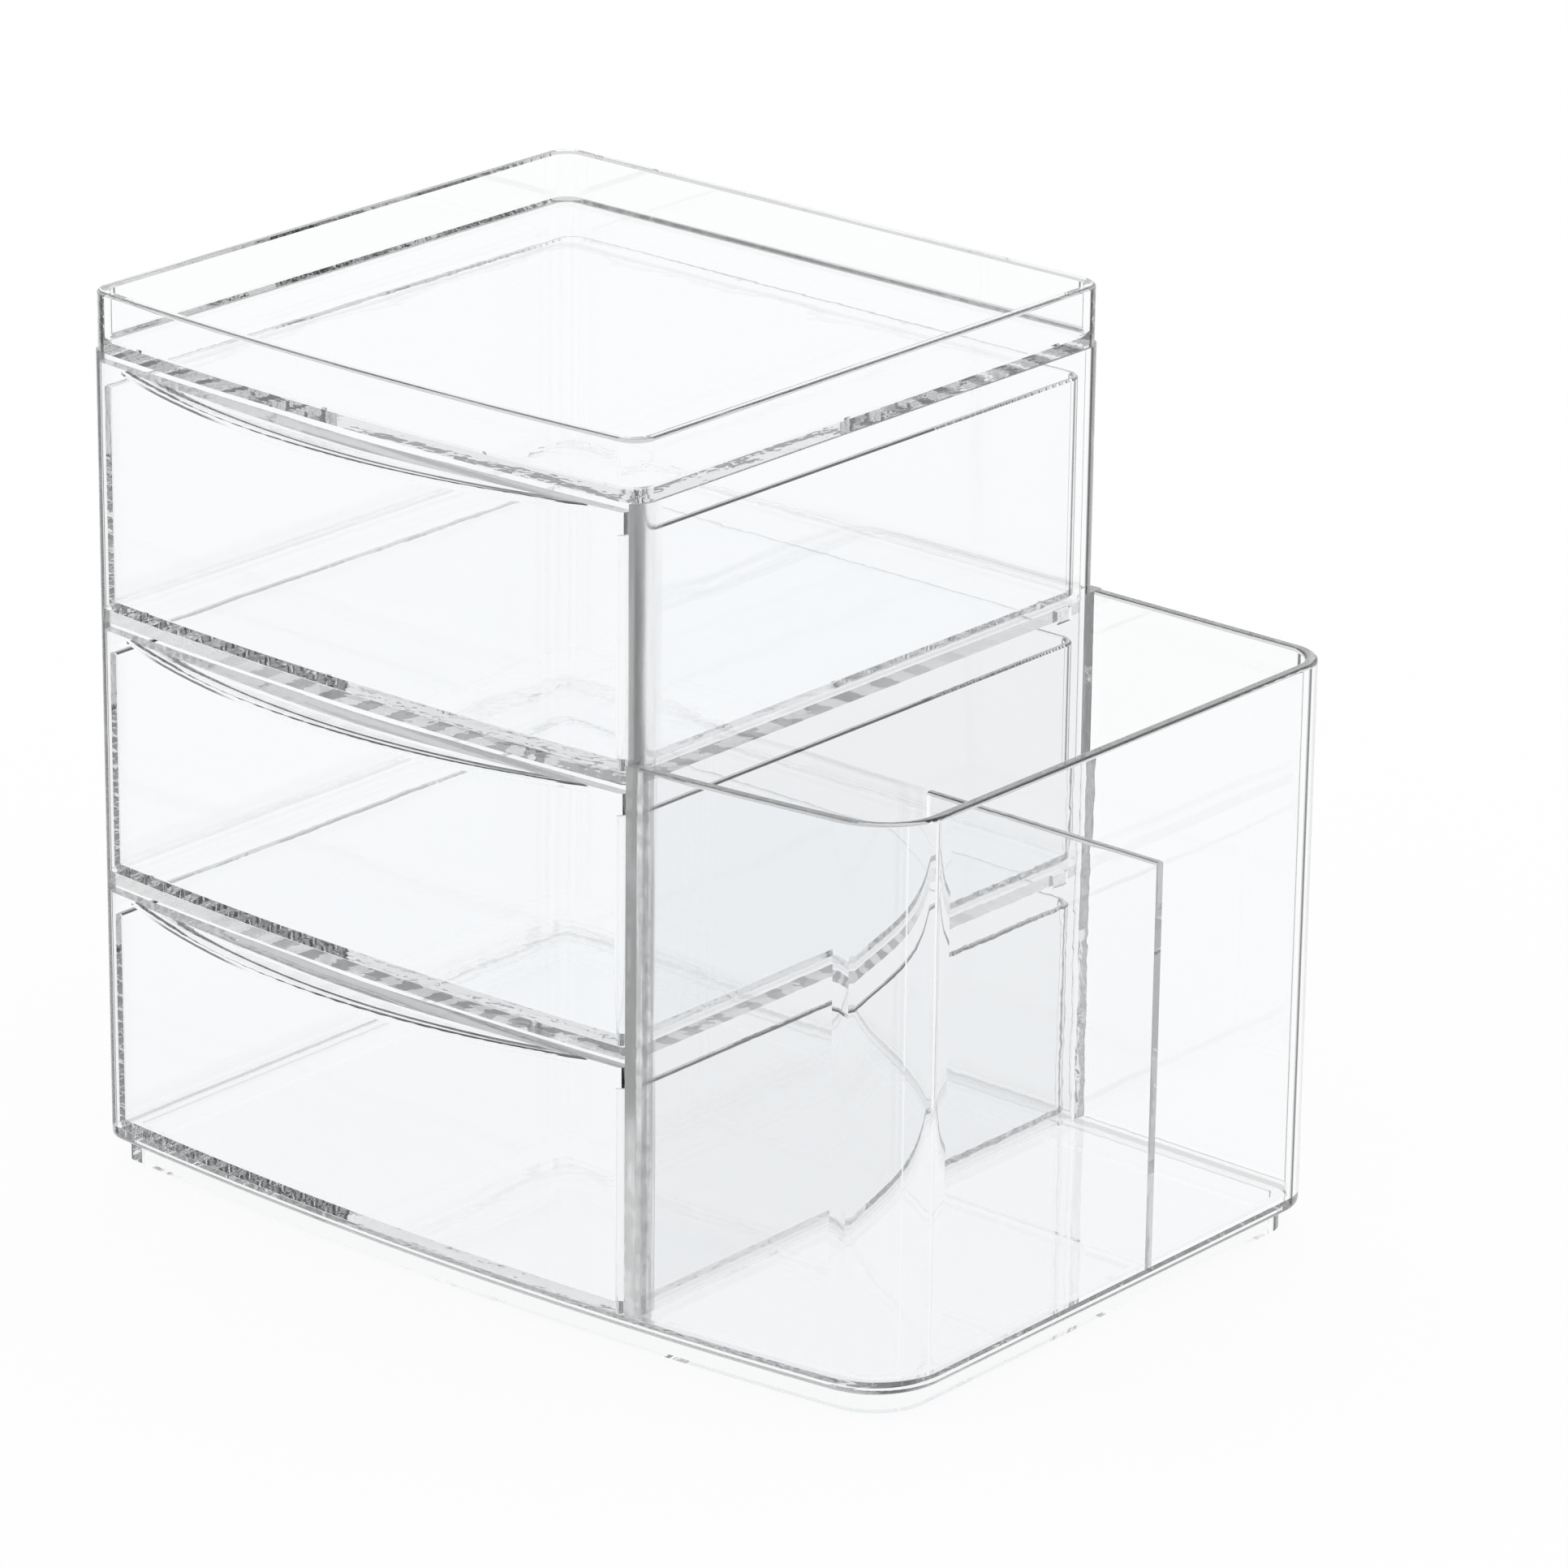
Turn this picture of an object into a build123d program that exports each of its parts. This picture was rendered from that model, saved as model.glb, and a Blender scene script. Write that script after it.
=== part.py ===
# Clear makeup organizer: casing with three drawers, tray on top, open caddy at the right side.
# Millimetres. X runs along the front from left to right, Y from the front to the back, Z up.
# The pieces are drawn with the casing's front left corner at X = 0 and Y = 0, where the bow starts, and are
# then moved so that the origin lies at the middle of the whole object's footprint, on the surface it stands on.
import math
import os

from build123d import *

os.makedirs("parts", exist_ok=True)

# Overall sizes
CASE_W = 139.5
CADDY_W = 56.5
TOTAL_W = CASE_W + CADDY_W
DEPTH = 134.5
HEIGHT = 178.0
CADDY_TOP = 116.5

# One bow runs across the whole front, in plan, with its middle at the middle of the casing
BOW_R = 830.0
BOW_MID = CASE_W / 2

# Air line between two pieces that stand, slide or are bonded on each other
AIR = 0.1

# Casing and shelves
WALL = 2.5
SHELF_T = 2.4
DRAWERS = 3

# Base plate on its plinth
PLINTH_H = 4.9
PLINTH_INSET = 3.6
PLINTH_W = 2.5
PLINTH_ROOT = 1.2
BASE_T = 2.9
BASE_ROUND = 1.6
BASE_TOP = PLINTH_H + BASE_T

# Tray
TRAY_H = 11.8
TRAY_UNDER = HEIGHT - TRAY_H
TRAY_T = 1.8
TRAY_STEP = 0.4
TRAY_RIM_W = 2.1
TRAY_COVE = 0.7
TRAY_RIM_ROUND = 0.7
TRAY_RIM_BREAK = 0.45

# Corner radii in plan
R_FRONT = 5.0
R_BACK = 5.5
R_SHELF = 1.2
R_RECESS = 4.0
R_CADDY_FRONT = 16.0
R_CADDY_INSIDE = 11.0
R_CADDY_BACK = 9.0
R_SMALL = 1.0

# Heights of the drawer bays
PITCH = (TRAY_UNDER - BASE_TOP + SHELF_T) / DRAWERS
BAY_H = PITCH - SHELF_T

# Shelf tabs that sit in slots of the side walls
TAB_BACK = 13.5
TAB_LEN = 4.0
TAB_OUT = 2.1
TAB_FIT = 0.15
TAB_Y0 = DEPTH - TAB_BACK

# Caddy divider and rims
DIVIDER_Y = 82.3
DIVIDER_T = 2.0
DIVIDER_TOP = 89.2
DIVIDER_ROUND = 0.7
CADDY_ROUND = 0.7

# Drawers: a thin tub behind a front panel that is a little wider than the tub
PANEL_FIT = 0.7
TUB_FIT = 1.6
BACK_GAP = 0.4
DRAWER_BACK = DEPTH - WALL - BACK_GAP
TUB_WALL = 1.4
DRAWER_FLOOR = 1.5
PANEL_T = 2.2
R_PANEL = 1.2
R_TUB_BACK = 4.0
R_TUB_FRONT = 0.6
TUB_FOOT = 0.8
TUB_COVE = 0.3
TUB_RIM = 0.35
SIDE_DROP = 6.6
PANEL_DROP = 1.9
SIDE_H = BAY_H - SIDE_DROP
PANEL_H = BAY_H - PANEL_DROP

# Crescent pull lip: an arc in plan that leaves the panel at both ends, hollowed out from below for the fingertips
LIP_END = 10.0
LIP_OUT = 8.6
LIP_TIP = 1.5
LIP_ROOT = 4.8
LIP_HOLLOW_OUT = 5.3
LIP_HOLLOW_DROP = 2.3
LIP_EDGE = 0.7
LIP_BREAK = 0.4
LIP_BITE = 1.0

# How far a cutting shape reaches past the piece that it cuts
PAST = 10.0

CASE_CORNERS = (R_FRONT, R_FRONT, R_BACK, R_BACK)
WHOLE_CORNERS = (R_FRONT, R_CADDY_FRONT, R_CADDY_BACK, R_BACK)


def front_y(x, inset=0.0):
    """Y of the bowed front at x, moved inward by inset."""
    centre = math.sqrt(BOW_R**2 - BOW_MID**2)
    return centre - math.sqrt((BOW_R - inset) ** 2 - (x - BOW_MID) ** 2)


def bowed(x0, x1, y1, inset=0.0, corners=(0, 0, 0, 0)):
    """Plan area between the bow, moved inward by inset, and a straight line at y1.

    The corner radii are given as front left, front right, back right, back left."""
    xm = (x0 + x1) / 2
    fl = (x0, front_y(x0, inset))
    fm = (xm, front_y(xm, inset))
    fr = (x1, front_y(x1, inset))
    br = (x1, y1)
    bl = (x0, y1)
    edges = [ThreePointArc(fl, fm, fr), Line(fr, br), Line(br, bl), Line(bl, fl)]
    face = make_face(edges)
    for (x, y), radius in zip((fl, fr, br, bl), corners):
        if radius > 0:
            corner = face.vertices().sort_by_distance((x, y, 0))[0]
            face = fillet(corner, radius)
    return face


def footprint(width, step, corners):
    """Plan of the casing or of the whole object, moved inward by step on every side."""
    radii = [max(radius - step, R_SMALL) for radius in corners]
    return bowed(step, width - step, DEPTH - step, step, radii)


def prism(face, z0, z1):
    return extrude(Pos(0, 0, z0) * face, z1 - z0)


def block(x0, x1, y0, y1, z0, z1):
    """Box between two corners."""
    size = Box(x1 - x0, y1 - y0, z1 - z0, align=(Align.MIN, Align.MIN, Align.MIN))
    return Pos(x0, y0, z0) * size


def level_edges(shape, z):
    return shape.edges().filter_by_position(Axis.Z, z - 0.01, z + 0.01)


def make_base():
    """Plate under the whole object, on a plinth ring that is set in from its edge."""
    plate = prism(footprint(TOTAL_W, 0, WHOLE_CORNERS), PLINTH_H, BASE_TOP)
    plate = fillet(level_edges(plate, PLINTH_H), BASE_ROUND)
    foot = prism(footprint(TOTAL_W, PLINTH_INSET, WHOLE_CORNERS), 0, PLINTH_H + BASE_T / 2)
    core = prism(footprint(TOTAL_W, PLINTH_INSET + PLINTH_W, WHOLE_CORNERS), -PAST, PLINTH_H)
    body = plate + foot
    foot_y = front_y(BOW_MID, PLINTH_INSET)
    root = level_edges(body, PLINTH_H).sort_by_distance((BOW_MID, foot_y, PLINTH_H))[0]
    body = chamfer(root, PLINTH_ROOT)
    return body - core


def make_casing():
    """Left, right and back walls; the front is open, and slots in the side walls take the shelf tabs."""
    low_corners = (R_FRONT, 0, 0, R_BACK)
    low = prism(bowed(0, CASE_W, DEPTH, 0, low_corners), BASE_TOP + AIR, CADDY_TOP)
    high = prism(bowed(0, CASE_W, DEPTH, 0, CASE_CORNERS), CADDY_TOP, TRAY_UNDER - AIR)
    cavity = block(WALL, CASE_W - WALL, -PAST, DEPTH - WALL, -PAST, HEIGHT + PAST)
    back_corners = cavity.edges().filter_by(Axis.Z).sort_by(Axis.Y)[-2:]
    cavity = fillet(back_corners, R_BACK - WALL)
    body = low + high - cavity
    for n in range(1, DRAWERS):
        z = BASE_TOP + n * PITCH - SHELF_T
        y0 = TAB_Y0 - TAB_FIT
        y1 = TAB_Y0 + TAB_LEN + TAB_FIT
        body -= block(-PAST, CASE_W + PAST, y0, y1, z - TAB_FIT, z + SHELF_T + TAB_FIT)
    return body


def make_shelf(n):
    """Shelf under drawer bay n, with a tab at each side."""
    z = BASE_TOP + n * PITCH - SHELF_T
    x0 = WALL + AIR
    x1 = CASE_W - WALL - AIR
    r = R_BACK - WALL
    face = bowed(x0, x1, DEPTH - WALL - AIR, 0, (R_SHELF, R_SHELF, r, r))
    shelf = prism(face, z, z + SHELF_T)
    tabs = block(WALL - TAB_OUT, CASE_W - WALL + TAB_OUT, TAB_Y0, TAB_Y0 + TAB_LEN, z, z + SHELF_T)
    return shelf + tabs


def make_tray():
    """Shallow tray that closes the top of the casing."""
    body = prism(footprint(CASE_W, TRAY_STEP, CASE_CORNERS), TRAY_UNDER, HEIGHT)
    s = TRAY_STEP + TRAY_RIM_W
    floor_z = TRAY_UNDER + TRAY_T
    inside = bowed(s, CASE_W - s, DEPTH - s, s, (R_RECESS, R_RECESS, R_RECESS, R_RECESS))
    recess = prism(inside, floor_z, HEIGHT + PAST)
    recess = chamfer(level_edges(recess, floor_z), TRAY_COVE)
    body -= recess
    rim = body.faces().sort_by(Axis.Z)[-1]
    body = body.chamfer(TRAY_RIM_BREAK, None, rim.inner_wires()[0].edges())
    rim = body.faces().sort_by(Axis.Z)[-1]
    return body.fillet(TRAY_RIM_ROUND, rim.outer_wire().edges())


def make_caddy():
    """Wall of the caddy: one moulding that runs round its front, right side and back."""
    outer = bowed(0, TOTAL_W, DEPTH, 0, (0, R_CADDY_FRONT, R_CADDY_BACK, 0))
    s = WALL
    inner_corners = (0, R_CADDY_INSIDE, R_CADDY_BACK - s, 0)
    inner = bowed(s, TOTAL_W - s, DEPTH - s, s, inner_corners)
    ring = prism(outer, BASE_TOP + AIR, CADDY_TOP) - prism(inner, 0, CADDY_TOP + PAST)
    ring -= block(-PAST, CASE_W + AIR, -PAST, DEPTH + PAST, 0, CADDY_TOP + PAST)
    rim = [e for e in level_edges(ring, CADDY_TOP) if (e @ 0.5).X > CASE_W + WALL]
    return fillet(rim, CADDY_ROUND)


def make_divider():
    """Cross wall that parts the caddy into a front and a back pocket."""
    x0 = CASE_W + AIR
    x1 = TOTAL_W - WALL - AIR
    plate = block(x0, x1, DIVIDER_Y, DIVIDER_Y + DIVIDER_T, BASE_TOP + AIR, DIVIDER_TOP)
    rim = level_edges(plate, DIVIDER_TOP).filter_by(Axis.X)
    return fillet(rim, DIVIDER_ROUND)


def make_lip():
    """Pull lip, as a solid of revolution about the upright through the centre of the lip's arc."""
    half = CASE_W / 2 - LIP_END
    apex = front_y(BOW_MID) - LIP_OUT
    sag = front_y(LIP_END) - apex
    r = (half**2 + sag**2) / (2 * sag)
    root = r - LIP_OUT
    inner = root - 2 * LIP_BITE
    top = PANEL_H
    hollow = (r - LIP_HOLLOW_OUT, top - LIP_HOLLOW_DROP)
    edges = [
        Line((inner, top), (r, top)),
        Line((r, top), (r, top - LIP_TIP)),
        ThreePointArc((r, top - LIP_TIP), hollow, (root, top - LIP_ROOT)),
        Line((root, top - LIP_ROOT), (inner, top - LIP_ROOT)),
        Line((inner, top - LIP_ROOT), (inner, top)),
    ]
    profile = make_face(edges)
    upper = profile.vertices().sort_by_distance((r, top, 0))[0]
    profile = fillet(upper, LIP_EDGE)
    lower = profile.vertices().sort_by_distance((r, top - LIP_TIP, 0))[0]
    profile = chamfer(lower, LIP_BREAK)
    ring = revolve(Plane.XZ * profile, Axis.Z, 360)
    lip = Pos(BOW_MID, apex + r, 0) * ring
    # Only what stands in front of the panel is kept, and its root bites into the panel
    x0 = WALL + PANEL_FIT
    ahead = bowed(x0, CASE_W - x0, apex - PAST, LIP_BITE)
    return lip & prism(ahead, 0, PANEL_H + PAST)


def make_drawer(n):
    """Drawer in bay n: tub, front panel and pull lip in one moulding."""
    x0 = WALL + PANEL_FIT
    x1 = CASE_W - WALL - PANEL_FIT
    panel = prism(bowed(x0, x1, DEPTH, 0, (R_PANEL, R_PANEL, 0, 0)), 0, PANEL_H)
    behind = bowed(-PAST, CASE_W + PAST, DEPTH + PAST, PANEL_T)
    panel -= prism(behind, -PAST, PANEL_H + PAST)

    x0 = WALL + TUB_FIT
    x1 = CASE_W - WALL - TUB_FIT
    r = R_TUB_BACK
    tub = prism(bowed(x0, x1, DRAWER_BACK, PANEL_T / 2, (0, 0, r, r)), 0, SIDE_H)
    foot = [e for e in level_edges(tub, 0) if (e @ 0.5).Y > PANEL_T]
    tub = chamfer(foot, TUB_FOOT)

    x0 += TUB_WALL
    x1 -= TUB_WALL
    r = R_TUB_BACK - TUB_WALL
    inside = bowed(x0, x1, DRAWER_BACK - TUB_WALL, PANEL_T, (R_TUB_FRONT, R_TUB_FRONT, r, r))
    hollow = prism(inside, DRAWER_FLOOR, PANEL_H + PAST)
    hollow = chamfer(level_edges(hollow, DRAWER_FLOOR), TUB_COVE)
    tub = chamfer(level_edges(tub - hollow, SIDE_H), TUB_RIM)
    return Pos(0, 0, BASE_TOP + n * PITCH + AIR) * (tub + panel + make_lip())


# The lips of the drawers reach furthest forward, so they set the middle of the footprint
FOREMOST = front_y(BOW_MID) - LIP_OUT
ORIGIN = Pos(-TOTAL_W / 2, -(DEPTH + FOREMOST) / 2, 0)

pieces = {
    "base_plate": make_base(),
    "casing_shell": make_casing(),
    "shelf_upper": make_shelf(2),
    "shelf_lower": make_shelf(1),
    "top_tray": make_tray(),
    "caddy_shell": make_caddy(),
    "caddy_divider": make_divider(),
    "drawer_upper": make_drawer(2),
    "drawer_middle": make_drawer(1),
    "drawer_lower": make_drawer(0),
}
for name, piece in pieces.items():
    export_step(ORIGIN * piece, f"parts/{name}.step")
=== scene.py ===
# %% [markdown]
# A clear makeup organizer. Its casing holds three drawers under a shallow tray, and an open caddy stands
# at its right side. The shapes are finished and come from the frame, in metres. This lesson is about
# their finish: colourless clear plastic, which has hardly any colour of its own. It is seen by what it
# bends and what its edges gather, so the room round it matters as much as the material.

# %% Load the frame
import math

import bpy
from mathutils import Matrix, Vector

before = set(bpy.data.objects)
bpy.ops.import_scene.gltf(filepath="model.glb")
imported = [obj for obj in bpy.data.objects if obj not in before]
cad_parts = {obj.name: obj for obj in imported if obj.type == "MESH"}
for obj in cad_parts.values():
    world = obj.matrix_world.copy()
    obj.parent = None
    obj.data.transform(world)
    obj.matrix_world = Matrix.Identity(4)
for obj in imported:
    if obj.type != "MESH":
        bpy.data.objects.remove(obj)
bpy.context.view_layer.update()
scene = bpy.context.scene
scene.view_settings.view_transform = "Standard"
print("pieces:", ", ".join(sorted(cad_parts)))

# %% [markdown]
# The camera. A product shot is taken with a long lens from a few steps away, so that the far side of the
# object is nearly as large as the near side. A camera could be aimed by eye, but straight mouldings show
# every degree of error. Here the turn, the tilt and the place were worked out from the straight rims of
# the object, and the matrix is built from the directions to the right, up and backwards.

# %% Camera
PICTURE = 1932
FOCAL_IN_PIXELS = 9578.6
SENSOR = 36.0
TURN = math.radians(40.447)
TILT = math.radians(20.574)
LEAN = math.radians(0.66)
EYE = Vector((0.9127, -1.0426, 0.60634))


def aim_camera():
    """Camera at EYE that looks down by TILT and is turned to the left by TURN."""
    ahead = Vector((-math.sin(TURN) * math.cos(TILT), math.cos(TURN) * math.cos(TILT), -math.sin(TILT)))
    level = Vector((math.cos(TURN), math.sin(TURN), 0))
    upright = level.cross(ahead)
    right = math.cos(LEAN) * level + math.sin(LEAN) * upright
    up = math.cos(LEAN) * upright - math.sin(LEAN) * level
    lens = bpy.data.cameras.new("camera")
    lens.sensor_width = SENSOR
    lens.lens = FOCAL_IN_PIXELS / PICTURE * SENSOR
    camera = bpy.data.objects.new("camera", lens)
    scene.collection.objects.link(camera)
    place = Matrix((right, up, -ahead)).transposed().to_4x4()
    place.translation = EYE
    camera.matrix_world = place
    scene.camera = camera
    return lens.lens


print("lens in millimetres:", round(aim_camera(), 1))

# %% [markdown]
# Small helpers. A material is a drawing of boxes and wires. Each box could be made and wired by hand in
# four or five lines. A helper that makes a box and fills in its sockets, where a value is either a number
# or a wire, keeps the drawing short enough to read.

# %% Node helpers


def wire_in(tree, socket, value):
    """Links a wire to a socket, or sets the socket to a value."""
    if isinstance(value, bpy.types.NodeSocket):
        tree.links.new(value, socket)
    else:
        socket.default_value = value


def box(tree, kind, **settings):
    """Adds a node and sets its own properties, such as operation or data_type."""
    node = tree.nodes.new(kind)
    for name, value in settings.items():
        setattr(node, name, value)
    return node


def fill(tree, node, **sockets):
    """Fills input sockets by name, with an underscore for each blank."""
    for name, value in sockets.items():
        wire_in(tree, node.inputs[name.replace("_", " ")], value)
    return node


def maths(tree, operation, a, b=0.0):
    """One Math box, with a and b as numbers or wires. Gives its output wire."""
    node = box(tree, "ShaderNodeMath", operation=operation)
    wire_in(tree, node.inputs[0], a)
    wire_in(tree, node.inputs[1], b)
    return node.outputs[0]


def product(tree, first, *others):
    """Product of several numbers or wires, such as masks that must all hold."""
    for other in others:
        first = maths(tree, "MULTIPLY", first, other)
    return first


def rest_of(tree, mask):
    """1 minus a mask, so 1 where the mask is 0."""
    return maths(tree, "SUBTRACT", 1.0, mask)


def spread(tree, value, low, high, to_low=0.0, to_high=1.0, shape="LINEAR"):
    """Maps the range from low to high onto the range from to_low to to_high."""
    node = box(tree, "ShaderNodeMapRange", interpolation_type=shape)
    fill(tree, node, Value=value, From_Min=low, From_Max=high, To_Min=to_low, To_Max=to_high)
    return node.outputs["Result"]


def axes(tree, wire):
    """The X, Y and Z outputs of a vector."""
    node = box(tree, "ShaderNodeSeparateXYZ")
    tree.links.new(wire, node.inputs[0])
    return node.outputs


def blend_colours(tree, factor, a, b):
    """Mix of two colours, each a wire, a colour or a grey level."""
    node = box(tree, "ShaderNodeMix", data_type="RGBA")
    open_inputs = {socket.name: socket for socket in node.inputs if socket.enabled}
    wire_in(tree, open_inputs["Factor"], factor)
    for name, value in (("A", a), ("B", b)):
        wire_in(tree, open_inputs[name], (value, value, value, 1) if isinstance(value, float) else value)
    return [socket for socket in node.outputs if socket.enabled][0]


# %% [markdown]
# The room. A clear object on white is lit by a white tent all round. If the tent had no dark part at all,
# the edges would vanish, so two dark cards stand at opposite ends of it. Light that goes straight through
# the walls only meets the white tent. Light that has run along inside a wall, bouncing between its faces,
# comes out of the far edge and looks at the cards, and that is why edges look grey. The cards could be
# real sheets in the scene, but then they would show in other views. Counting the bounces inside the
# plastic tells the two kinds of light apart, so only the light that ran far inside sees the cards.

# %% Studio room
CARD_AXIS = Vector((math.cos(TURN), math.sin(TURN), 0))
CARD_FROM = 0.72
CARD_TO = 0.9
CARD_GREY = 0.2
RUN_FROM = 6.0
RUN_TO = 14.0


def inside_run(tree):
    """0 for light that came straight through, 1 for light that bounced many times inside the plastic."""
    path = box(tree, "ShaderNodeLightPath")
    return spread(tree, path.outputs["Glossy Depth"], RUN_FROM, RUN_TO)


def hang_tent():
    """World: white all round, with the dark cards seen only by light that ran inside the walls."""
    world = bpy.data.worlds.new("studio")
    scene.world = world
    world.use_nodes = True
    tree = world.node_tree
    tree.nodes.clear()
    side = box(tree, "ShaderNodeVectorMath", operation="DOT_PRODUCT")
    tree.links.new(box(tree, "ShaderNodeTexCoord").outputs["Generated"], side.inputs[0])
    side.inputs[1].default_value = CARD_AXIS
    reach = maths(tree, "ABSOLUTE", side.outputs["Value"])
    card = product(tree, spread(tree, reach, CARD_FROM, CARD_TO, shape="SMOOTHSTEP"), inside_run(tree))
    colour = blend_colours(tree, card, 1.0, CARD_GREY)
    light = fill(tree, box(tree, "ShaderNodeBackground"), Color=colour, Strength=1.0)
    out = box(tree, "ShaderNodeOutputWorld")
    tree.links.new(light.outputs[0], out.inputs["Surface"])
    return world


print("world:", hang_tent().name)

# %% [markdown]
# The floor is a wide pale sheet. It is white for the eye and through the plastic, but it keeps a little
# of the object's shadow, which a clear object only has where its edges bend the light away. Most light
# inside the walls runs downwards and ends on this sheet, so light that ran far inside finds it greyer,
# like the cards.

# %% Floor
FLOOR_SIZE = 6.0
FLOOR_DROP = 0.0002
FLOOR_PALE = 0.97
FLOOR_BRIGHT = 0.93
FLOOR_RUN_GREY = 0.4


def lay_floor():
    """Pale sheet under the object."""
    bpy.ops.mesh.primitive_plane_add(size=FLOOR_SIZE, location=(0, 0, -FLOOR_DROP))
    floor = bpy.context.object
    floor.name = "floor"
    material = bpy.data.materials.new("pale_floor")
    material.use_nodes = True
    tree = material.node_tree
    tree.nodes.clear()
    path = box(tree, "ShaderNodeLightPath").outputs
    seen = maths(tree, "MAXIMUM", path["Is Camera Ray"], path["Is Transmission Ray"])
    seen = maths(tree, "MAXIMUM", seen, path["Is Glossy Ray"])
    pale = fill(tree, box(tree, "ShaderNodeBsdfDiffuse"), Color=(FLOOR_PALE, FLOOR_PALE, FLOOR_PALE, 1))
    white = blend_colours(tree, inside_run(tree), 1.0, FLOOR_RUN_GREY)
    glow = fill(tree, box(tree, "ShaderNodeEmission"), Color=white, Strength=1.0)
    both = box(tree, "ShaderNodeMixShader")
    tree.links.new(product(tree, seen, FLOOR_BRIGHT), both.inputs[0])
    tree.links.new(pale.outputs[0], both.inputs[1])
    tree.links.new(glow.outputs[0], both.inputs[2])
    out = box(tree, "ShaderNodeOutputMaterial")
    tree.links.new(both.outputs[0], out.inputs["Surface"])
    floor.data.materials.append(material)
    return floor


print("floor:", lay_floor().name)

# %% [markdown]
# The skin of moulded plastic. A polished mould leaves faces that look flat, yet they carry faint waves
# where the melt cooled unevenly, a finer ripple, and upright streaks along the flow. Straight through a
# wall none of these is seen. Light that runs inside the wall meets the faces dozens of times, so the
# waves break its edge into soft flakes. Modelling waves of a few hundredths of a millimetre would take
# millions of faces, so they are a height for the Bump box. The group is shared by every clear piece, each
# with its own depths.

# %% Moulded skin group
WAVE_SCALE = 60.0
RIPPLE_SCALE = 330.0
STREAK_SCALE = 260.0
STREAK_STRETCH = 0.08


def drawn_out(tree, stretch):
    """Place on the object, with Z scaled by stretch, so that a small stretch gives upright streaks."""
    place = box(tree, "ShaderNodeVectorMath", operation="MULTIPLY")
    tree.links.new(box(tree, "ShaderNodeTexCoord").outputs["Object"], place.inputs[0])
    place.inputs[1].default_value = (1, 1, stretch)
    return place.outputs[0]


def noise(tree, place, scale, detail=1.0):
    """Noise texture, as a wire of its grey value."""
    texture = fill(tree, box(tree, "ShaderNodeTexNoise"), Vector=place, Scale=scale, Detail=detail)
    return texture.outputs["Fac"]


def build_moulded_skin():
    """Group that gives the height of the waves, ripples and streaks, in the units of the depths."""
    tree = bpy.data.node_groups.new("moulded_skin", "ShaderNodeTree")
    for name in ("Wave Depth", "Ripple Depth", "Streak Depth"):
        tree.interface.new_socket(name, in_out="INPUT", socket_type="NodeSocketFloat")
    tree.interface.new_socket("Height", in_out="OUTPUT", socket_type="NodeSocketFloat")
    depths = box(tree, "NodeGroupInput").outputs
    place = box(tree, "ShaderNodeTexCoord").outputs["Object"]
    wave = product(tree, noise(tree, place, WAVE_SCALE, detail=0.0), depths["Wave Depth"])
    ripple = product(tree, noise(tree, place, RIPPLE_SCALE), depths["Ripple Depth"])
    streak = product(tree, noise(tree, drawn_out(tree, STREAK_STRETCH), STREAK_SCALE), depths["Streak Depth"])
    height = maths(tree, "ADD", maths(tree, "ADD", wave, ripple), streak)
    tree.links.new(height, box(tree, "NodeGroupOutput").inputs["Height"])
    return tree


moulded_skin = build_moulded_skin()
print("group:", moulded_skin.name)

# %% [markdown]
# Edges that get painted shade. Two kinds of place look darker on any clear box, because they bend light
# from darker parts of the room into view: the small roundings and bevels between level and upright faces,
# and the upright rounded corners. Both could be found by an angle test in mesh code, but the direction of
# a face says the same: a bevel leans, and an upright corner looks along neither X nor Y. One group finds
# both, and each material decides how much painted shade they get.

# %% Edge finder group
LEAN_FROM = 0.2
LEAN_TO = 0.97
CORNER_FROM = 0.06
CORNER_TO = 0.1
UPRIGHT_BELOW = 0.1


def build_edge_finder():
    """Group that gives 1 on small leaning edges and 1 on upright rounded corners."""
    tree = bpy.data.node_groups.new("edge_finder", "ShaderNodeTree")
    for name in ("Small Edge", "Round Corner"):
        tree.interface.new_socket(name, in_out="OUTPUT", socket_type="NodeSocketFloat")
    out = box(tree, "NodeGroupOutput")
    facets = box(tree, "ShaderNodeNewGeometry").outputs
    flat = axes(tree, facets["True Normal"])
    lean = maths(tree, "ABSOLUTE", flat["Z"])
    steep = maths(tree, "LESS_THAN", lean, LEAN_TO)
    leaning = maths(tree, "GREATER_THAN", lean, LEAN_FROM)
    tree.links.new(product(tree, steep, leaning), out.inputs["Small Edge"])
    smooth = axes(tree, facets["Normal"])
    between = maths(tree, "ABSOLUTE", product(tree, smooth["X"], smooth["Y"]))
    upright = maths(tree, "LESS_THAN", maths(tree, "ABSOLUTE", smooth["Z"]), UPRIGHT_BELOW)
    corner = product(tree, spread(tree, between, CORNER_FROM, CORNER_TO), upright)
    tree.links.new(corner, out.inputs["Round Corner"])
    return tree


edge_finder = build_edge_finder()
print("group:", edge_finder.name)
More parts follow.
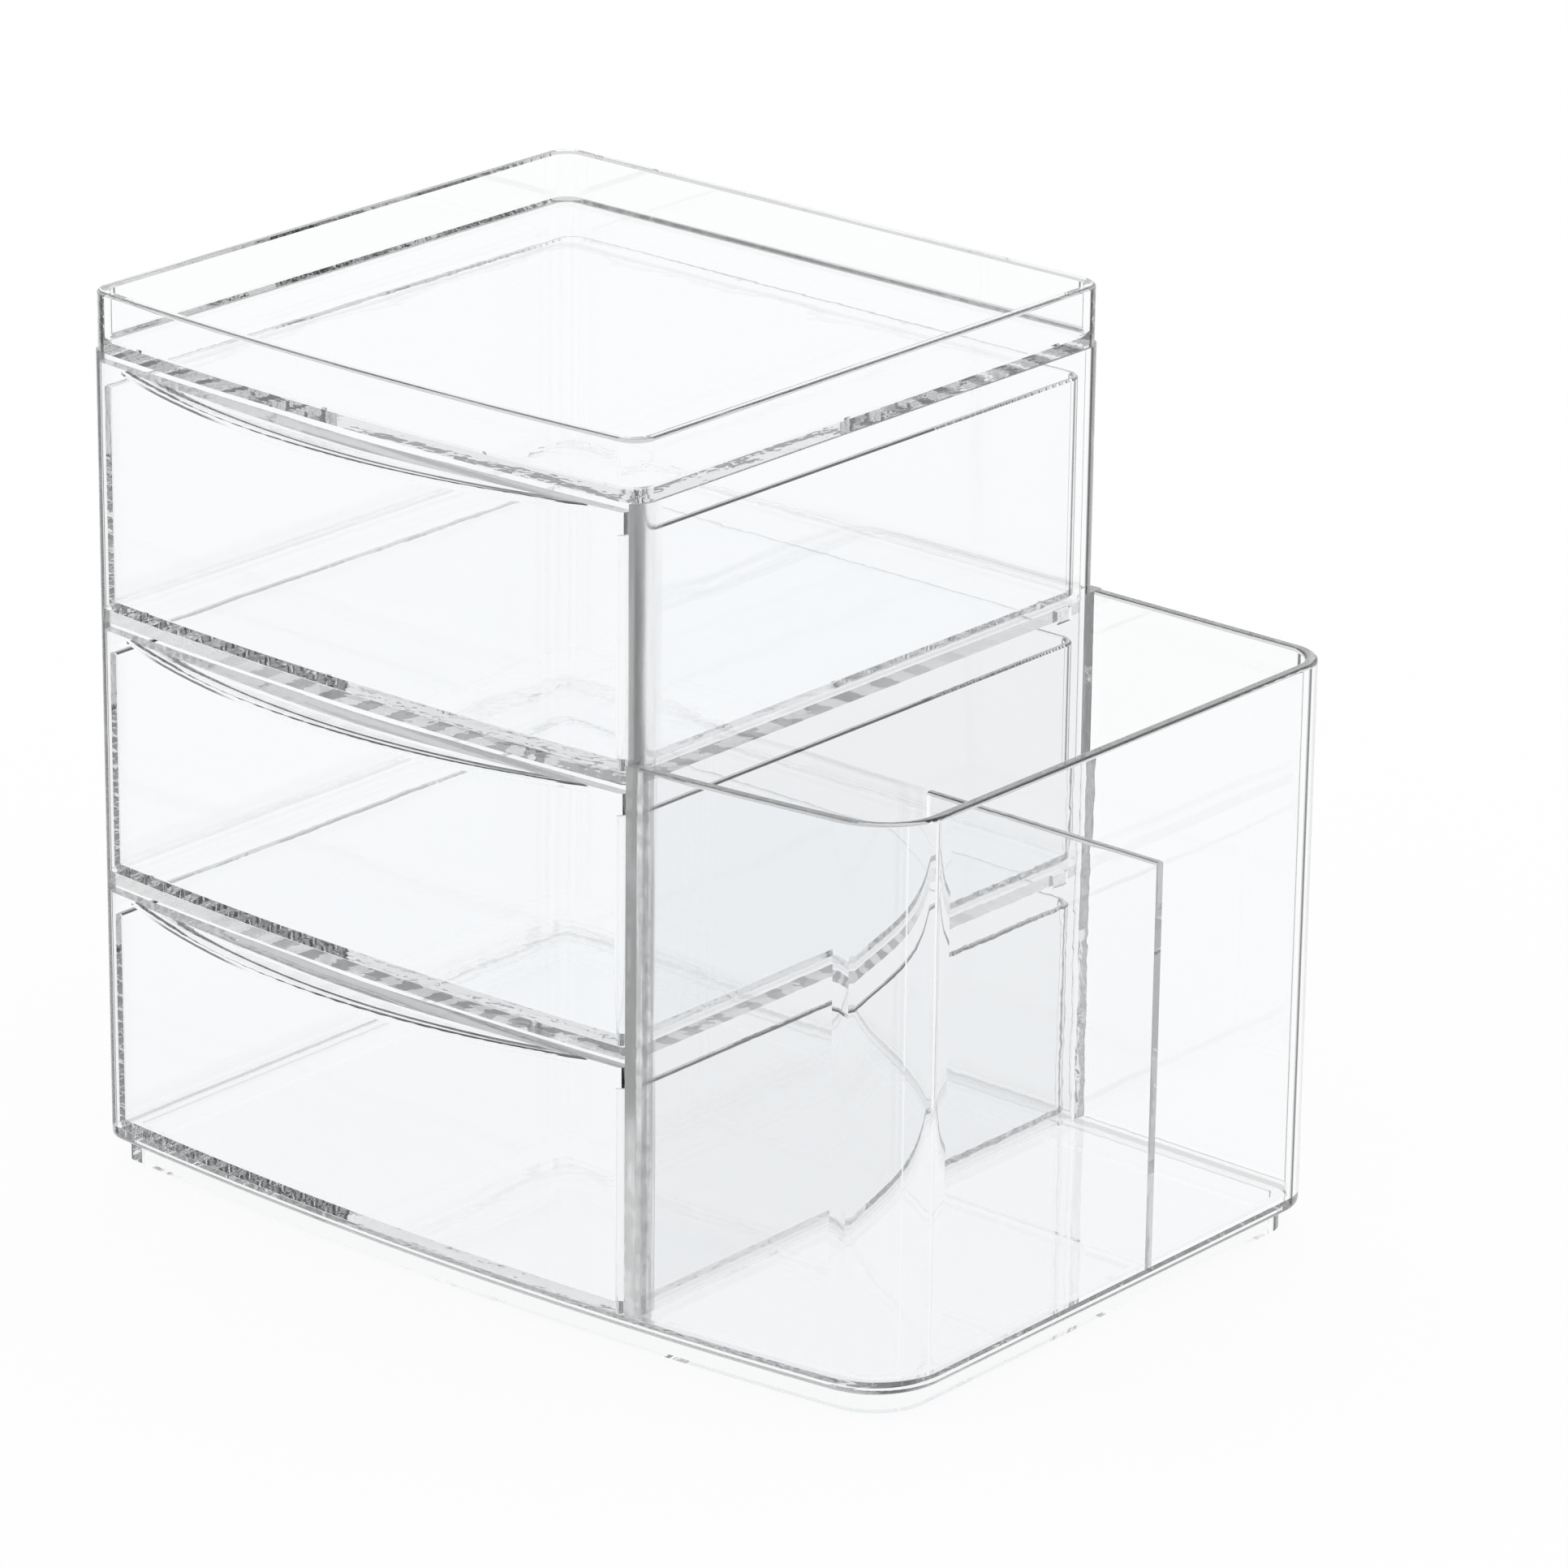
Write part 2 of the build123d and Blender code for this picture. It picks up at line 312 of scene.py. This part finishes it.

# %% [markdown]
# Clear plastic. The Principled shader with full Transmission is a true refracting body: light bends at
# each face and is turned back inside at shallow angles. A thin coat of alpha would be quicker, but it
# bends nothing. The faces take only a trace of blue, because a white part seen through seven walls must
# stay white. A little grey sits in the depth of the plastic, so long ways inside an edge turn darker. A
# rounded corner of a real box shows one dark line where it bends the eye's ray round to the room behind.
# Here that line is painted shade in the base colour, and Layer Weight finds where it goes, because it
# follows the angle to the eye. On some pieces the small bevels get painted shade too.

# %% Clear plastic
MILLIMETRE = 0.001
PLASTIC_IOR = 1.5
FACE_TINT = (0.988, 0.992, 0.996, 1.0)
DEPTH_TINT = (0.28, 0.3, 0.33, 1.0)
DEPTH_DENSITY = 1.6
FACING_BLEND = 0.5
# Place, width and grey of the painted shade on rounded corners and bevels.
LINE_AT = 0.5
LINE_REACH = 0.09
PAINTED_EDGE_SHADE = 0.04
BEVEL_SHADE = 0.5
CASE_WAVE = 0.05
CASE_RIPPLE = 0.004
CASE_STREAK = 0.004
DRAWER_WAVE = 0.04
DRAWER_RIPPLE = 0.003


def painted_corner_line(tree, corner):
    """1 along the line of an upright rounded corner that gets painted shade, standing in for the dark it
    bends in from the room, and 0 elsewhere.
    """
    facing = fill(tree, box(tree, "ShaderNodeLayerWeight"), Blend=FACING_BLEND).outputs["Facing"]
    off = maths(tree, "ABSOLUTE", maths(tree, "SUBTRACT", facing, LINE_AT))
    return product(tree, spread(tree, off, LINE_REACH / 2, LINE_REACH, 1.0, 0.0, "SMOOTHSTEP"), corner)


def clear_plastic(name, wave=CASE_WAVE, ripple=CASE_RIPPLE, streak=0.0, painted_bevel_shade=0.0):
    """Clear material with painted shade on rounded corners and bevels. Wave, ripple and streak are depths in
    millimetres, and the last argument is the bevels' painted shade.
    """
    material = bpy.data.materials.new(name)
    material.use_nodes = True
    tree = material.node_tree
    body = tree.nodes["Principled BSDF"]
    fill(tree, body, Metallic=0.0, Roughness=0.0, IOR=PLASTIC_IOR, Transmission_Weight=1.0)
    found = box(tree, "ShaderNodeGroup", node_tree=edge_finder, name="edges").outputs
    # Painted shade: the corner line and, by the last argument, the bevels are greyed in the base colour.
    shade = maths(tree, "MAXIMUM", painted_corner_line(tree, found["Round Corner"]),
                  product(tree, found["Small Edge"], painted_bevel_shade))
    fill(tree, body, Base_Color=blend_colours(tree, shade, FACE_TINT, PAINTED_EDGE_SHADE))
    skin = box(tree, "ShaderNodeGroup", node_tree=moulded_skin, name="skin")
    fill(tree, skin, Wave_Depth=wave, Ripple_Depth=ripple, Streak_Depth=streak)
    bump = box(tree, "ShaderNodeBump")
    fill(tree, bump, Height=skin.outputs["Height"], Distance=MILLIMETRE, Strength=1.0)
    fill(tree, body, Normal=bump.outputs["Normal"])
    inside = fill(tree, box(tree, "ShaderNodeVolumeAbsorption"), Color=DEPTH_TINT, Density=DEPTH_DENSITY)
    tree.links.new(inside.outputs["Volume"], tree.nodes["Material Output"].inputs["Volume"])
    return material


case_plastic = clear_plastic("case_clear", painted_bevel_shade=BEVEL_SHADE)
drawer_plastic = clear_plastic("drawer_clear", wave=DRAWER_WAVE, ripple=DRAWER_RIPPLE)
print("materials:", case_plastic.name, drawer_plastic.name)

# %% [markdown]
# The casing's front ends and the post. The front ends of the side walls are cut and a little rough, and
# they get flaky painted shade from top to bottom, standing in for the grey that light running inside the
# walls shows there. The right one is a post: the caddy joins it there, and upright streaks of painted shade
# run along it. Under the caddy's rim two walls lie against each other on the real object, so there the
# painted shade on the post is deeper and as wide as both walls, and the post's shade and finish go on over
# the first strip of the caddy.
# All of this could be extra geometry, but it is only a matter of where a point lies and which way it
# faces, so masks of place and direction are enough. The places are measured on the casing and the caddy,
# so they follow the shapes.

# %% Where the post is
casing_points = [vertex.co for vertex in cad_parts["casing_shell"].data.vertices]
caddy_points = [vertex.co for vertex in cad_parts["caddy_shell"].data.vertices]
CASING_FRONT = min(point.y for point in casing_points)
CASING_RIGHT = max(point.x for point in casing_points)
CADDY_TOP = max(point.z for point in caddy_points)
POST_DEPTH = 0.0067
POST_INWARD = 0.0035
POST_OUTWARD = 0.0026
print("casing's front, its right side and the caddy's top, in millimetres:",
      [round(place / MILLIMETRE, 1) for place in (CASING_FRONT, CASING_RIGHT, CADDY_TOP)])

# %% [markdown]
# The painted shade on them. Its flakes on the front ends and its streaks along the post stand in for the
# grey that light running inside the walls shows there. A painted picture could show them, but it would
# fit one size only.
# An even noise gives flakes, and one that is drawn out along Z gives streaks. Each mask is 1 on its part
# of the surface and 0 elsewhere, so a product of masks is 1 where all of them hold.

# %% Front ends and post
FRONT_FACING = -0.5
SIDE_FACING = 0.9
END_GRAIN = 0.12
# Greys of the painted shade: flakes on the front ends, streaks on the post, and the lower right side.
END_SHADE = 0.15
FLAKE_SHADE = 0.4
FLAKE_SCALE = 380.0
POST_SHADE = 0.1
POST_LOW_SHADE = 0.45
POST_GLOSS_IOR = 1.9
POST_GLOSS_GRAIN = 0.2
STREAK_SHADE_SCALE = 900.0
STREAK_SHADE_STRETCH = 0.04
FAINTEST_STREAK_SHADE = 0.2
NOISE_LOW = 0.4
NOISE_HIGH = 0.6
LOW_SHADE = 0.1


def shade_pattern(tree, stretch, scale, weakest, strongest):
    """Noise over the object with its contrast raised, from weakest to strongest, as a pattern of painted
    shade. Gives a wire.
    """
    grey = noise(tree, drawn_out(tree, stretch), scale)
    return spread(tree, grey, NOISE_LOW, NOISE_HIGH, weakest, strongest)


def shade_and_finish_front_ends(material):
    """Painted shade: flakes on the front ends, streaks on the post at the right front corner, and a little on
    the lower right side.
    """
    tree = material.node_tree
    body = tree.nodes["Principled BSDF"]
    turn = axes(tree, box(tree, "ShaderNodeNewGeometry").outputs["True Normal"])
    place = axes(tree, box(tree, "ShaderNodeTexCoord").outputs["Object"])
    within = maths(tree, "LESS_THAN", place["X"], CASING_RIGHT + POST_OUTWARD)
    ahead = product(tree, within, maths(tree, "LESS_THAN", place["Y"], CASING_FRONT + POST_DEPTH))
    right = product(tree, within, maths(tree, "GREATER_THAN", place["X"], CASING_RIGHT - POST_INWARD))
    low = maths(tree, "LESS_THAN", place["Z"], CADDY_TOP)
    high_right = product(tree, right, rest_of(tree, low))
    # Painted shade in upright streaks on the post, deeper under the caddy's rim.
    streaks = product(tree, right, ahead, shade_pattern(tree, STREAK_SHADE_STRETCH, STREAK_SHADE_SCALE, FAINTEST_STREAK_SHADE, 1.0))
    shade = product(tree, streaks, maths(tree, "ADD", POST_SHADE, product(tree, low, POST_LOW_SHADE)))
    # Painted shade in flakes on the front ends, except the right one above the caddy.
    faces_front = maths(tree, "LESS_THAN", turn["Y"], FRONT_FACING)
    end = product(tree, ahead, faces_front, rest_of(tree, high_right))
    flaky_shade = shade_pattern(tree, 1.0, FLAKE_SCALE, END_SHADE, END_SHADE + FLAKE_SHADE)
    shade = maths(tree, "MAXIMUM", shade, product(tree, end, flaky_shade))
    # A little painted shade on the lower right side, where it faces outwards.
    outside = maths(tree, "GREATER_THAN", turn["X"], SIDE_FACING)
    shade = maths(tree, "MAXIMUM", shade, product(tree, right, low, outside, LOW_SHADE))
    # The painted shade darkens the base colour towards black.
    plain = body.inputs["Base Color"].links[0].from_socket
    fill(tree, body, Base_Color=blend_colours(tree, shade, plain, 0.0))
    fill(tree, body, Roughness=product(tree, ahead, END_GRAIN), Coat_Weight=product(tree, ahead, right))
    fill(tree, body, Coat_IOR=POST_GLOSS_IOR, Coat_Roughness=POST_GLOSS_GRAIN)
    return material


casing_plastic = shade_and_finish_front_ends(clear_plastic("casing_clear", streak=CASE_STREAK))
caddy_plastic = shade_and_finish_front_ends(clear_plastic("caddy_clear", painted_bevel_shade=BEVEL_SHADE))
print("materials:", casing_plastic.name, caddy_plastic.name)

# %% [markdown]
# The shelves. On the real object they are one with the walls, so light crosses from a shelf into a wall,
# while here a hair's breadth of air lies between the two solids and would turn the light back like a
# mirror. The upright edges of a shelf therefore let most of the light cross as if nothing was there,
# which Alpha does. The shelf's front edge turns pale and streaky, and only the drawer floors keep their
# dark line.

# %% Shelf finish
BONDED_SHARE = 0.75
UPRIGHT_EDGE = 0.5


def open_bonded_edges(material):
    """Lets a share of the light cross the upright edges unbent."""
    tree = material.node_tree
    turn = axes(tree, box(tree, "ShaderNodeNewGeometry").outputs["True Normal"])
    edge = maths(tree, "LESS_THAN", maths(tree, "ABSOLUTE", turn["Z"]), UPRIGHT_EDGE)
    fill(tree, tree.nodes["Principled BSDF"], Alpha=rest_of(tree, product(tree, edge, BONDED_SHARE)))
    return material


shelf_plastic = open_bonded_edges(clear_plastic("shelf_clear"))
print("material:", shelf_plastic.name)

# %% [markdown]
# Dressing. Every node of the frame keeps its shape and place, and only its material slots are filled. A
# node's whole name, or else its first word, says which plastic it gets.

# %% Dress the pieces
PLASTIC_OF = {
    "casing_shell": casing_plastic,
    "caddy_shell": caddy_plastic,
    "shelf": shelf_plastic,
    "drawer": drawer_plastic,
}


def dress(name, material):
    """Puts the material in every slot of a node of the frame."""
    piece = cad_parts[name]
    if not piece.material_slots:
        piece.data.materials.append(None)
    for slot in piece.material_slots:
        slot.material = material


for name in sorted(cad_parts):
    material = PLASTIC_OF.get(name) or PLASTIC_OF.get(name.split("_")[0], case_plastic)
    dress(name, material)
    print(name, "is", material.name)

# %% [markdown]
# Long ways inside. A ray can bounce some fifty times between the two faces of a shelf before it comes
# out. With the usual limit of twelve bounces such rays are dropped and the edges turn black, so the limit
# is raised.

# %% Bounces
LONGEST_RUN = 96
MOST_OPEN_EDGES = 32
scene.cycles.max_bounces = LONGEST_RUN
scene.cycles.transmission_bounces = LONGEST_RUN
scene.cycles.glossy_bounces = LONGEST_RUN
scene.cycles.transparent_max_bounces = MOST_OPEN_EDGES
print("bounces:", LONGEST_RUN)
